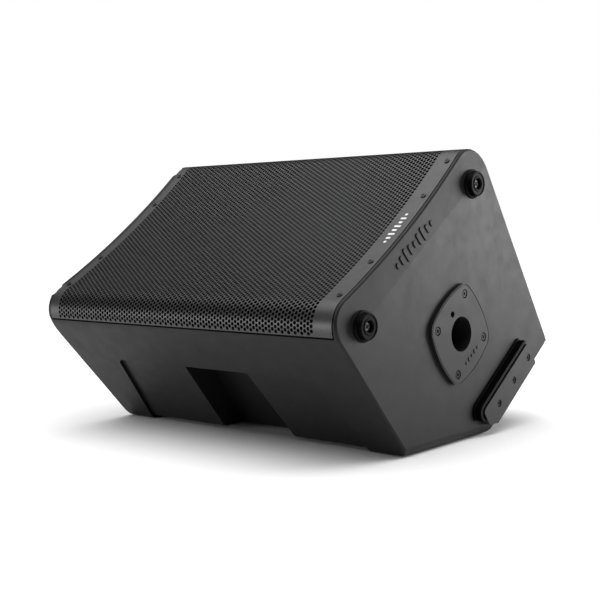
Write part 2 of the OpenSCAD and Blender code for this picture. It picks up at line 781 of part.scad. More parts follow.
sink_x0 = 22;
sink_x1 = 80;
sink_u0 = 16;
sink_u1 = 102;
fin_count = 11;
module heat_sink() color("#2c2c2e") cabinet_frame() {
    block([sink_x0, sink_u0, panel_n - 3], [sink_x1, sink_u1, panel_n]);
    for (i = [0 : fin_count - 1]) let (x = sink_x0 + i * (sink_x1 - sink_x0 - 2) / (fin_count - 1))
        block([x, sink_u0, panel_n - 13], [x + 2, sink_u1, panel_n - 2]);
}

post_places = [for (x = [-114, 74], u = [18, 100]) [x, u]];
module board_posts() color(zinc) cabinet_frame() {
    for (p = post_places) translate([p[0], p[1], panel_n + panel_t])
        cylinder(r = 3, h = board_n - panel_n - panel_t, $fn = 6);
}

module amp_board() color(board_green) cabinet_frame() {
    block([-118, 14.5, board_n], [78, 103.5, board_n + 1.6]);
}

module transformer() color(copper) cabinet_frame() {
    translate([44, 58, board_n + 1.6 + 13]) rotate_extrude($fn = 72)
        polygon(rounded([[[11, -13], 5], [[29, -13], 5], [[29, 13], 5], [[11, 13], 5]]));
}

module capacitors() color("#27406b") cabinet_frame() {
    for (x = [-92, -62, -32], u = [34, 84]) translate([x, u, board_n + 1.6]) {
        cylinder(r = 10, h = 28);
        translate([0, 0, 28]) cylinder(r = 8.5, h = 0.8);
    }
}

// a round wire between two points
module wire(a, b, r) {
    let (v = b - a, flat = norm([v[0], v[1]]))
        translate(a) rotate([0, atan2(flat, v[2]), atan2(v[1], v[0])])
            cylinder(r = r, h = norm(v), $fn = 24);
}

// a lead through a list of points, with round bends
module lead(points, r) {
    for (i = [0 : len(points) - 2]) wire(points[i], points[i + 1], r);
    for (i = [1 : len(points) - 2]) translate(points[i]) sphere(r = r * 1.12, $fn = 24);
}

module speaker_leads() color("#8a1f1f") cabinet_frame() {
    lead([[0, 96, board_n + 1.6], [0, 96, -40], [10, 84, 20], [40, 54, 60]], 1.7);
    lead([[-12, 96, board_n + 1.6], [-12, 96, -50], [-60, 62, -24], [-80, 44, 4], [-84, 38, 14]], 1.4);
}

// a moulded round socket with a mounting flange and a hollow front
module socket_shell(depth) {
    difference() {
        union() {
            block([-13, -17, 0], [13, 14, 2]);
            translate([0, 0, -20]) cylinder(r = 11.8, h = 21);
        }
        translate([0, 0, 2 - depth]) cylinder(r = 9.5, h = depth + 1);
        for (a = [-1, 1]) translate([a * 10, a * 11, -1]) cylinder(r = 1.6, h = 5);
    }
}

module input_sockets() color("#18181a") cabinet_frame() {
    for (x = input_x) on_panel(x, socket_u) difference() {
        socket_shell(18);
        translate([0, 0, -19]) cylinder(r = 3.2, h = 10);
        for (turn = [90, 210, 330]) rotate(turn) translate([5.4, 0, -19]) cylinder(r = 1.3, h = 10);
        block([-3.8, -15.9, -1], [3.8, -12.2, 5]);
    }
}

module input_latch(x) {
    on_panel(x, socket_u) {
        block([-3.5, -15.6, -4.5], [3.5, -12.5, 4]);
        block([-3.9, -15.9, -4.9], [3.9, -12.3, -3.2]);
    }
}

module input_latch_a() color("#3c3c3e") cabinet_frame() input_latch(input_x[0]);
module input_latch_b() color("#3c3c3e") cabinet_frame() input_latch(input_x[1]);

module mix_output_socket() color("#18181a") cabinet_frame() {
    on_panel(mix_x, socket_u) {
        socket_shell(16);
        for (turn = [90, 210, 330]) rotate(turn) translate([4.5, 0, -14.5]) cylinder(r = 1.2, h = 11);
    }
}

module aux_socket() color("#18181a") cabinet_frame() {
    on_panel(aux_place[0], aux_place[1]) difference() {
        union() {
            translate([0, 0, -12]) cylinder(r = 4, h = 12);
            cylinder(r = 5, h = 1.6);
        }
        translate([0, 0, -11]) cylinder(r = 1.8, h = 20);
    }
}

module mains_inlet() color("#18181a") cabinet_frame() {
    on_panel(inlet_place[0], inlet_place[1]) {
        difference() {
            union() {
                block([-24, -11.5, 0], [24, 11.5, 2.2]);
                block([-14, -10, -19], [14, 10, 1]);
            }
            block([-12.2, -8, -15], [12.2, 8, 5]);
            for (side = [-1, 1]) translate([side * 20, 0, -1]) cylinder(r = 1.7, h = 5);
        }
        for (p = [[-7, 0], [7, 0], [0, -4]]) block([p[0] - 1, p[1] - 2, -15.5], [p[0] + 1, p[1] + 2, -3]);
    }
}

rocker_half = 8.6;
module power_switch_body() color("#18181a") cabinet_frame() {
    on_panel(switch_place[0], switch_place[1]) difference() {
        union() {
            block([-12.5, -8.5, 0], [12.5, 8.5, 1.6]);
            block([-11, -7, -16], [11, 7, 1]);
        }
        block([-rocker_half - 0.7, -5.1, -9], [rocker_half + 0.7, 5.1, 5]);
        translate([0, -6.1, -2]) rotate([-90, 0, 0]) cylinder(r = 1.25, h = 12.2);
    }
}

module power_rocker() color("#b01818") cabinet_frame() {
    on_panel(switch_place[0], switch_place[1]) translate([0, 0, -2]) {
        rotate([0, 8, 0]) translate([0, 4.8, 0]) rotate([90, 0, 0]) linear_extrude(9.6)
            polygon([[-rocker_half, 0], [-rocker_half + 0.2, 4], [0, 2.6], [rocker_half - 0.2, 4],
                [rocker_half, 0], [3, -3], [-3, -3]]);
        translate([0, -6, 0]) rotate([-90, 0, 0]) cylinder(r = 1.2, h = 12);
    }
}

module potentiometers() color("#6a6c70") cabinet_frame() {
    for (x = concat(input_x, [mix_x, preset_x])) on_panel(x, knob_u) difference() {
        union() {
            block([-6, -6, -13], [6, 6, -5]);
            translate([0, 0, -6]) cylinder(r = 3.8, h = 7.4);
        }
        translate([0, 0, -11]) cylinder(r = 3.05, h = 20);
    }
}

module knob(x, cap_r) {
    on_panel(x, knob_u) {
        difference() {
            union() {
                translate([0, 0, 1.8]) rotate_extrude() polygon([[0, 0], [cap_r + 1, 0], [cap_r + 1, 1],
                    [cap_r, 2], [cap_r - 0.6, 9.2], [cap_r - 1.4, 10], [0, 10]]);
                translate([0, 0, -10]) cylinder(r = 3, h = 13);
            }
            for (i = [0 : 11]) rotate(30 * i) translate([cap_r + 0.7, 0, 5]) cylinder(r = 1.1, h = 12);
            block([-0.5, 0.5, 11.2], [0.5, cap_r - 1, 13]);
        }
    }
}

module gain_knob_a() color("#2e2e30") cabinet_frame() knob(input_x[0], knob_d / 2 - 1);
module gain_knob_b() color("#2e2e30") cabinet_frame() knob(input_x[1], knob_d / 2 - 1);
module gain_knob_aux() color("#2e2e30") cabinet_frame() knob(mix_x, knob_d / 2 - 1);
module preset_knob() color("#2e2e30") cabinet_frame() knob(preset_x, knob_d / 2);

module push_switch_body() color("#6a6c70") cabinet_frame() {
    on_panel(button_place[0], button_place[1]) difference() {
        block([-6, -6, -14], [6, 6, -panel_t]);
        block([-4.8, -4.8, -9.4], [4.8, 4.8, 5]);
    }
}

module mic_line_button() color("#3c3c3e") cabinet_frame() {
    on_panel(button_place[0], button_place[1]) {
        block([-3.6, -3.6, -4], [3.6, 3.6, 3.5]);
        block([-4.4, -4.4, -6.5], [4.4, 4.4, -3.2]);
    }
}

module status_lights() color("#3fae5a") cabinet_frame() {
    for (p = light_places) on_panel(p[0], p[1]) {
        translate([0, 0, -6]) cylinder(r = 1.5, h = 6.4);
        translate([0, 0, 0.4]) sphere(r = 1.5, $fn = 24);
    }
}

rear_shell();
hand_pocket();
panel_frame();
front_baffle();
grille();
grille_foam();
grille_screws();
grille_badge();
pole_socket();
pole_socket_screws();
round_feet();
foot_screws();
rail_foot_rubber();
rail_foot_plate();
rail_foot_screws();
case_screws();
woofer_gasket();
woofer_basket();
woofer_top_plate();
woofer_magnet();
woofer_yoke();
woofer_spider();
woofer_surround();
woofer_cone();
woofer_dust_cap();
woofer_voice_coil();
woofer_screws();
horn_waveguide();
horn_screws();
hf_driver_body();
hf_magnet();
hf_diaphragm();
hf_suspension();
hf_rear_cover();
port_tubes();
acoustic_lining();
amp_panel();
panel_screws();
heat_sink();
amp_board();
board_posts();
transformer();
capacitors();
speaker_leads();
input_sockets();
input_latch_a();
input_latch_b();
mix_output_socket();
aux_socket();
mains_inlet();
power_switch_body();
power_rocker();
potentiometers();
gain_knob_a();
gain_knob_b();
gain_knob_aux();
preset_knob();
push_switch_body();
mic_line_button();
status_lights();
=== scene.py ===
"""Looks of the stage monitor wedge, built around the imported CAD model."""
import bisect
import json
import math

import bmesh
import bpy
from mathutils import Matrix, Vector

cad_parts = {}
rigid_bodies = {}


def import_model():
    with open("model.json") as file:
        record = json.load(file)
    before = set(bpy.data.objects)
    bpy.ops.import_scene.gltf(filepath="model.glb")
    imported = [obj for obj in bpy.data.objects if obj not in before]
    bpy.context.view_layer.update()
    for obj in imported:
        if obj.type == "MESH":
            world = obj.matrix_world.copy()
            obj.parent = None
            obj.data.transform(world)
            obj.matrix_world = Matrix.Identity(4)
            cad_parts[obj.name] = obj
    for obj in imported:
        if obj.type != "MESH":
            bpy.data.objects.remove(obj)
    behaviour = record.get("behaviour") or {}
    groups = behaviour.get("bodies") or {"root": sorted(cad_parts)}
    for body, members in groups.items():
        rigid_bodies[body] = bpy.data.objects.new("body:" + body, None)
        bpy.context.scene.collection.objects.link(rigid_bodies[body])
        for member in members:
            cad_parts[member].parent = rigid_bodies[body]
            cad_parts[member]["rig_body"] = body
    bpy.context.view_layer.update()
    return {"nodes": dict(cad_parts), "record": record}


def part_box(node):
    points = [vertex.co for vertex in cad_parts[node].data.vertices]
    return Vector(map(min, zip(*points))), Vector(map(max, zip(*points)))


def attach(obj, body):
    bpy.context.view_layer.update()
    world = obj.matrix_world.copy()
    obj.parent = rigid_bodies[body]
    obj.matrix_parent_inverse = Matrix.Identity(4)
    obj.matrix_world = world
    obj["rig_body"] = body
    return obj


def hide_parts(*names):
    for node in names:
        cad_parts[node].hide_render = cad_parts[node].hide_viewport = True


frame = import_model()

# ---------------------------------------------------------------- the cabinet's own frame
# Sizes in this script are millimetres until they reach a mesh. The CAD model draws every part in
# a leaning frame: x along the cabinet, u up the sloping front, n out of the front.
MM = 0.001
RECLINE = math.radians(35.25)
SOCKET = next(m for m in frame["record"]["mounts"] if m["name"] == "pole_socket")
HALF_LENGTH = 215.5
END_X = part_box("rear_shell")[1].x / MM
ORIGIN = Vector((END_X - HALF_LENGTH, SOCKET["pos_m"][1] / MM, SOCKET["pos_m"][2] / MM))
TO_WORLD = Matrix.Scale(MM, 4) @ Matrix.Translation(ORIGIN) @ Matrix.Rotation(RECLINE, 4, "X")

# Outline of the cabinet in (u, n)
HALF_HEIGHT = 138.0
WALL_DRAFT = 0.066
FRONT_REACH = 133.0
FRONT_RADIUS = 1040.0
NOSE_RADIUS = 28.0
NOSE_U = HALF_HEIGHT + 9
SEAM_N = 119.5
BACK_EDGE_N = -121.0

# Grille
GRILLE_X = (-211.0, 208.0)
HOLE_X = (-196.2, 185.8)
HOLE_PITCH = 4.7
HOLE_RADIUS = 1.93
HOLE_SIDES = 12
SHEET = 1.2
SHEET_EDGE = 0.6
SHEET_PARTS = 2
NOSE_START_U = 108
FRONT_STEP = 4

# Near end face
CREASE_N = 105.0
LEAN_IN = 3.4
FOOT_N = 106.0
FOOT_U = 111.3
FOOT_CLEAR = 20.0
PLATE = 4.0
PLATE_BULGE = 44.5
PLATE_SIDE_RADIUS = 111.0
PLATE_CORNER = 51.3
GROOVE_INSET = 0.9
GROOVE_WIDTH = 0.9
GROOVE_DEPTH = 0.8
GROOVE_STATIONS = 120
RIM_ROUND = 2.6
FAR_RIM_ROUND = 3.4
RIM_SEGMENTS = 5

# Rear panel, whose outer face looks towards -n
PANEL_N = -107.0
GAIN_X = (-104.0, -70.0, -36.0)
PRESET_X = -4.0
KNOB_U = 50.0
KNOB_FRONT = 12.0
SCALE_INNER = 9.2
SCALE_STEPS = 10
SCALE_TURN = 270.0
SOCKET_U = 84.0
PRINT_RISE = 0.08
POINTER_WIDTH = 0.84


def front_at(u):
    """Depth n of the shallow hollow front at height u."""
    return FRONT_REACH + u * u / (2 * FRONT_RADIUS)


def half_at(n):
    """Half height of the cabinet at depth n."""
    return HALF_HEIGHT + WALL_DRAFT * n


def corner_arc(before, corner, after, radius, steps):
    """Points that round a corner of an outline."""
    toward = (before - corner).normalized()
    away = (after - corner).normalized()
    half = toward.angle(away) / 2
    centre = corner + (toward + away).normalized() * radius / math.sin(half)
    first = corner + toward * radius / math.tan(half) - centre
    last = corner + away * radius / math.tan(half) - centre
    start = math.atan2(first.y, first.x)
    sweep = (math.atan2(last.y, last.x) - start + math.pi) % (2 * math.pi) - math.pi
    turns = [start + sweep * i / steps for i in range(steps + 1)]
    return [centre + radius * Vector((math.cos(t), math.sin(t))) for t in turns]


def grille_line():
    """The grille's outer line in (u, n), from the seam under one nose to the seam under the other."""
    corner = Vector((half_at(front_at(NOSE_U)), front_at(NOSE_U)))
    wall = Vector((half_at(0), 0))
    inner = Vector((NOSE_START_U, front_at(NOSE_START_U)))
    nose = corner_arc(wall, corner, inner, NOSE_RADIUS, 40)
    nose = [p for p in nose if p.y > SEAM_N + 0.3]
    seam_start = nose[0] + (nose[0] - nose[1]).normalized() * (nose[0].y - SEAM_N)
    upper = [seam_start] + nose
    first = NOSE_START_U - FRONT_STEP // 2
    front = [Vector((u, front_at(u))) for u in range(first, -first - 1, -FRONT_STEP)]
    lower = [Vector((-p.x, p.y)) for p in reversed(upper)]
    return upper + front + lower


# ---------------------------------------------------------------- meshes
# Edges sharper than these angles, in degrees, get a round, and keep a crease in the shading.
BEVEL_ANGLE = 32
SMOOTH_ANGLE = 35


def new_piece(name, mesh, body="cabinet"):
    """Adds a mesh as a piece that rides on a body."""
    piece = bpy.data.objects.new(name, mesh)
    bpy.context.scene.collection.objects.link(piece)
    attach(piece, body)
    return piece


def mesh_from(name, build, to_world=TO_WORLD):
    """Runs build on an empty bmesh in the cabinet's frame and places the result."""
    work = bmesh.new()
    build(work)
    bmesh.ops.transform(work, matrix=to_world, verts=work.verts)
    mesh = bpy.data.meshes.new(name)
    work.to_mesh(mesh)
    work.free()
    return mesh


def smooth(piece, angle):
    """Smooth shading, with edges sharper than the angle kept."""
    mesh = piece.data
    mesh.polygons.foreach_set("use_smooth", [True] * len(mesh.polygons))
    mesh.set_sharp_from_angle(angle=math.radians(angle))


def flat_faces_first(piece):
    """Lets the large faces set the shading normals, so that they look flat up to their rounded edges."""
    weighting = piece.modifiers.new("weighted normals", "WEIGHTED_NORMAL")
    weighting.mode = "FACE_AREA"
    weighting.weight = 100
    weighting.keep_sharp = True
    apply_modifiers(piece)


def apply_modifiers(piece):
    """Turns a piece's modifiers into plain mesh."""
    shown = piece.evaluated_get(bpy.context.evaluated_depsgraph_get())
    mesh = bpy.data.meshes.new_from_object(shown)
    piece.modifiers.clear()
    piece.data = mesh


def rim_edges(work):
    """The edges round the near end face, and those of the far rim along the grille, with their rounds."""
    to_local = TO_WORLD.inverted()
    near, far = [], []
    for edge in work.edges:
        if len(edge.link_faces) != 2:
            continue
        x, u, n = to_local @ ((edge.verts[0].co + edge.verts[1].co) / 2)
        side_face, end_face = sorted(abs(face.normal.x) for face in edge.link_faces)
        if end_face < 0.9 or side_face > 0.3:
            continue
        at_foot = math.hypot(abs(u) - FOOT_U, n - FOOT_N) < FOOT_CLEAR
        at_nose = n > 90 and not at_foot
        on_wall = half_at(n) - abs(u) < 1
        on_front = front_at(u) - n < 1
        outline = on_wall or on_front or n < BACK_EDGE_N or at_nose
        if x > HALF_LENGTH - LEAN_IN - 0.5 and outline:
            near.append(edge)
        if x < LEAN_IN + 0.5 - HALF_LENGTH and n > SEAM_N:
            far.append(edge)
    return (near, RIM_ROUND), (far, FAR_RIM_ROUND)


def plate_reach(turn):
    """Distance from the pole socket's axis to the edge of its plate: four bulging sides, round corners."""
    centre = PLATE_BULGE - PLATE_SIDE_RADIUS
    sides = []
    for side in range(4):
        off = turn - side * math.pi / 2
        across = centre * math.sin(off)
        sides.append(centre * math.cos(off) + math.sqrt(PLATE_SIDE_RADIUS ** 2 - across ** 2))
    return min(sides + [PLATE_CORNER])


def groove_tool(work):
    """The ring that cuts a fine groove into the pole socket's plate, just inside its edge."""
    high = HALF_LENGTH + PLATE + 1
    low = HALF_LENGTH + PLATE - GROOVE_DEPTH
    stations = []
    for k in range(GROOVE_STATIONS):
        turn = 2 * math.pi * k / GROOVE_STATIONS
        far = plate_reach(turn) - GROOVE_INSET
        near = far - GROOVE_WIDTH
        corners = [(low, near), (low, far), (high, far), (high, near)]
        stations.append([work.verts.new((x, r * math.cos(turn), r * math.sin(turn))) for x, r in corners])
    for here, after in zip(stations, stations[1:] + stations[:1]):
        for i in range(4):
            work.faces.new((here[i], here[(i + 1) % 4], after[(i + 1) % 4], after[i]))
    bmesh.ops.recalc_face_normals(work, faces=work.faces)


def cut_groove(piece):
    """Cuts the groove into the plate's copy."""
    tool = bpy.data.objects.new("groove tool", mesh_from("groove tool", groove_tool))
    bpy.context.scene.collection.objects.link(tool)
    cut = piece.modifiers.new("groove", "BOOLEAN")
    cut.object = tool
    cut.operation = "DIFFERENCE"
    cut.solver = "EXACT"
    apply_modifiers(piece)
    bpy.data.objects.remove(tool)


def refined(node, bevel, segments):
    """A copy of a CAD node with its small edge rounds, which replaces the node."""
    source = frame["nodes"][node]
    work = bmesh.new()
    work.from_mesh(source.data)
    bmesh.ops.remove_doubles(work, verts=work.verts, dist=1e-6)
    bmesh.ops.dissolve_limit(work, angle_limit=math.radians(0.6), verts=work.verts, edges=work.edges)
    bmesh.ops.dissolve_degenerate(work, dist=2e-5, edges=work.edges)
    if node == "rear_shell":
        for edges, offset in rim_edges(work):
            bmesh.ops.bevel(work, geom=edges, offset=offset * MM, offset_type="OFFSET",
                            segments=RIM_SEGMENTS, profile=0.5, affect="EDGES", clamp_overlap=False)
    mesh = bpy.data.meshes.new(node + "_look")
    work.to_mesh(mesh)
    work.free()
    piece = new_piece(node + "_look", mesh, source["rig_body"])
    rounding = piece.modifiers.new("edge rounds", "BEVEL")
    rounding.width = bevel * MM
    rounding.segments = segments
    rounding.limit_method = "ANGLE"
    rounding.angle_limit = math.radians(BEVEL_ANGLE)
    rounding.miter_outer = "MITER_ARC"
    apply_modifiers(piece)
    if node == "pole_socket":
        cut_groove(piece)
    smooth(piece, SMOOTH_ANGLE)
    flat_faces_first(piece)
    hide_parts(node)
    return piece


# ---------------------------------------------------------------- materials
class Shader:
    """A node material under construction."""

    def __init__(self, name):
        self.material = bpy.data.materials.new(name)
        self.material.use_nodes = True
        self.tree = self.material.node_tree
        self.surface = self.tree.nodes["Principled BSDF"]
        self.place = self.add("ShaderNodeTexCoord").outputs["Object"]

    def add(self, kind, **settings):
        """Adds a node with its settings."""
        node = self.tree.nodes.new(kind)
        for key, value in settings.items():
            setattr(node, key, value)
        return node

    def link(self, source, target):
        """Joins an output to an input."""
        self.tree.links.new(source, target)

    def stretched(self, scale):
        """Object coordinates in the leaning frame, scaled differently along each axis."""
        mapping = self.add("ShaderNodeMapping")
        mapping.inputs["Scale"].default_value = scale
        mapping.inputs["Rotation"].default_value = (-RECLINE, 0, 0)
        self.link(self.place, mapping.inputs["Vector"])
        return mapping.outputs["Vector"]

    def noise(self, size, detail=3.0, roughness=0.55, place=None):
        """Noise whose grains are about size millimetres across."""
        node = self.add("ShaderNodeTexNoise")
        node.inputs["Scale"].default_value = 1 / (size * MM)
        node.inputs["Detail"].default_value = detail
        node.inputs["Roughness"].default_value = roughness
        self.link(place or self.place, node.inputs["Vector"])
        return node.outputs["Fac"]

    def cells(self, size, feature="F1"):
        """Cells about size millimetres across."""
        node = self.add("ShaderNodeTexVoronoi", feature=feature)
        node.inputs["Scale"].default_value = 1 / (size * MM)
        self.link(self.place, node.inputs["Vector"])
        return node.outputs["Distance"]

    def waves(self, size, direction="X", distortion=0.0):
        """Bands about size millimetres apart."""
        node = self.add("ShaderNodeTexWave", bands_direction=direction)
        node.inputs["Scale"].default_value = 0.314 / (size * MM)
        node.inputs["Distortion"].default_value = distortion
        self.link(self.place, node.inputs["Vector"])
        return node.outputs["Fac"]

    def ramp(self, value, low, high, low_at=0.0, high_at=1.0):
        """Turns a value into a value between low and high."""
        node = self.add("ShaderNodeMapRange")
        node.inputs["From Min"].default_value = low_at
        node.inputs["From Max"].default_value = high_at
        node.inputs["To Min"].default_value = low
        node.inputs["To Max"].default_value = high
        self.link(value, node.inputs["Value"])
        return node.outputs["Result"]

    def blend(self, value, low, high, low_at=0.35, high_at=0.65):
        """Colours the surface between low and high, as a value goes from low_at to high_at."""
        node = self.add("ShaderNodeValToRGB")
        node.color_ramp.elements[0].position = low_at
        node.color_ramp.elements[1].position = high_at
        node.color_ramp.elements[0].color = (*low, 1)
        node.color_ramp.elements[1].color = (*high, 1)
        self.link(value, node.inputs["Fac"])
        self.link(node.outputs["Color"], self.surface.inputs["Base Color"])

    def rough(self, value, low, high):
        """Varies the roughness between low and high."""
        self.link(self.ramp(value, low, high, 0.3, 0.7), self.surface.inputs["Roughness"])

    def bump(self, heights):
        """Adds up (height output, depth in millimetres) pairs into the surface normal."""
        normal = None
        for height, depth in heights:
            node = self.add("ShaderNodeBump")
            node.inputs["Strength"].default_value = 1.0
            node.inputs["Distance"].default_value = depth * MM
            self.link(height, node.inputs["Height"])
            if normal:
                self.link(normal, node.inputs["Normal"])
            normal = node.outputs["Normal"]
        self.link(normal, self.surface.inputs["Normal"])

    def metal(self, amount):
        """How far the surface is a metal."""
        self.surface.inputs["Metallic"].default_value = amount

    def shine(self, level):
        """How strongly the surface mirrors the light."""
        self.surface.inputs["Specular IOR Level"].default_value = level


def shades(base, spread):
    """A darker and a lighter version of a colour."""
    return [c * (1 - spread) for c in base], [c * (1 + spread) for c in base]


def moulded_plastic(name, base, grain=0.7, depth=0.03, rough=(0.42, 0.52), shine=0.5):
    """Spark-eroded moulded plastic: a fine even grain with faint cloudy variation."""
    shader = Shader(name)
    shader.blend(shader.noise(38, 4), *shades(base, 0.07))
    fine = shader.noise(grain, 2)
    shader.rough(shader.noise(17, 3), *rough)
    shader.bump([(shader.cells(grain * 1.6, "SMOOTH_F1"), depth), (fine, depth * 0.8)])
    shader.shine(shine)
    return shader.material


def powder_coat(name, base, rough=(0.36, 0.46), shine=0.5):
    """Powder coated steel: an even satin skin with a very fine orange peel."""
    shader = Shader(name)
    shader.blend(shader.noise(25, 3), *shades(base, 0.05))
    shader.rough(shader.noise(9, 3), *rough)
    shader.bump([(shader.noise(0.9, 2), 0.012), (shader.noise(0.35, 1), 0.006)])
    shader.shine(shine)
    return shader.material


def rubber(name, base, rough=(0.5, 0.62), shine=0.4):
    """Moulded rubber: dull, with dusty patches and a skin of fine pores."""
    shader = Shader(name)
    shader.blend(shader.noise(7, 4), *shades(base, 0.25))
    shader.rough(shader.noise(4, 3), *rough)
    shader.bump([(shader.noise(0.5, 2), 0.015)])
    shader.shine(shine)
    return shader.material


def bright_metal(name, base, rough=(0.2, 0.34), streak=(0.15, 0.15, 1.0), metal=1.0):
    """Plated or machined metal: fine tool marks and a mottled plating."""
    shader = Shader(name)
    shader.metal(metal)
    shader.blend(shader.noise(3, 4), *shades(base, 0.12))
    marks = shader.noise(0.9, 3, place=shader.stretched(streak))
    shader.rough(marks, *rough)
    shader.bump([(marks, 0.006)])
    return shader.material


def foam(name, base):
    """Open cell foam: small pits all over."""
    shader = Shader(name)
    pores = shader.cells(1.1)
    shader.blend(pores, *shades(base, 0.5), 0.1, 0.8)
    shader.rough(pores, 0.9, 1.0)
    shader.bump([(pores, 0.6), (shader.noise(0.5, 2), 0.2)])
    shader.shine(0.0)
    return shader.material


def felt(name, base):
    """Felted wool or treated cloth with crossed fibres."""
    shader = Shader(name)
    fibres = shader.noise(1.2, 5, 0.7, shader.stretched((1, 0.25, 1)))
    shader.blend(fibres, *shades(base, 0.3))
    shader.rough(fibres, 0.85, 1.0)
    shader.bump([(fibres, 0.5), (shader.noise(6, 3), 0.8)])
    shader.shine(0.1)
    return shader.material


def woven_cloth(name, base, thread=0.5):
    """Resin-treated cloth with a plain weave."""
    shader = Shader(name)
    warp = shader.waves(thread, "X", 0.3)
    weft = shader.waves(thread, "Y", 0.3)
    both = shader.add("ShaderNodeMath", operation="MULTIPLY")
    shader.link(warp, both.inputs[0])
    shader.link(weft, both.inputs[1])
    shader.blend(both.outputs[0], *shades(base, 0.3), 0.0, 0.7)
    shader.rough(shader.noise(3, 2), 0.55, 0.75)
    shader.bump([(both.outputs[0], 0.12)])
    return shader.material


def pressed_paper(name, base):
    """Loudspeaker cone paper: matted fibres in a dark pulp."""
    shader = Shader(name)
    pulp = shader.noise(2.2, 6, 0.75)
    shader.blend(pulp, *shades(base, 0.35))
    shader.rough(pulp, 0.62, 0.85)
    shader.bump([(pulp, 0.12), (shader.noise(0.5, 3), 0.05)])
    shader.shine(0.3)
    return shader.material


def wound_wire(name, base, pitch=0.7):
    """Enamelled copper wire in close turns."""
    shader = Shader(name)
    shader.metal(0.8)
    turns = shader.waves(pitch, "DIAGONAL", 0.6)
    shader.blend(turns, *shades(base, 0.35), 0.1, 0.9)
    shader.rough(turns, 0.25, 0.4)
    shader.bump([(turns, 0.2)])
    return shader.material


def circuit_board(name, base):
    """Green solder resist with copper tracks under it."""
    shader = Shader(name)
    tracks = shader.add("ShaderNodeTexBrick")
    tracks.inputs["Scale"].default_value = 1 / (26 * MM)
    tracks.inputs["Mortar Size"].default_value = 0.05
    tracks.inputs["Color1"].default_value = (*[c * 0.8 for c in base], 1)
    tracks.inputs["Color2"].default_value = (*base, 1)
    tracks.inputs["Mortar"].default_value = (*[min(1, c * 2.6) for c in base], 1)
    shader.link(shader.stretched((1, 1, 1)), tracks.inputs["Vector"])
    shader.link(tracks.outputs["Color"], shader.surface.inputs["Base Color"])
    shader.rough(shader.noise(5, 2), 0.22, 0.36)
    shader.bump([(tracks.outputs["Fac"], 0.05)])
    return shader.material


def sleeve(name, base, band=(0.75, 0.75, 0.78)):
    """Shrink sleeve on a capacitor, with a pale stripe down it."""
    shader = Shader(name)
    stripes = shader.waves(30, "X")
    shader.blend(stripes, base, band, 0.93, 0.95)
    shader.rough(shader.noise(4, 2), 0.2, 0.34)
    shader.bump([(shader.noise(2, 2), 0.03)])
    return shader.material


def glowing_lens(name, base):
    """Small clear coloured lens."""
    shader = Shader(name)
    shader.blend(shader.noise(1.2, 2), *shades(base, 0.2))
    shader.rough(shader.noise(1, 2), 0.08, 0.16)
    shader.bump([(shader.noise(0.8, 1), 0.01)])
    shader.surface.inputs["Transmission Weight"].default_value = 0.3
    return shader.material


def printed_paint(name, base):
    """Screen-printed ink: matt and slightly uneven."""
    shader = Shader(name)
    shader.blend(shader.noise(1.5, 3), *shades(base, 0.06))
    shader.rough(shader.noise(1.0, 2), 0.5, 0.62)
    shader.bump([(shader.noise(0.4, 2), 0.01)])
    return shader.material


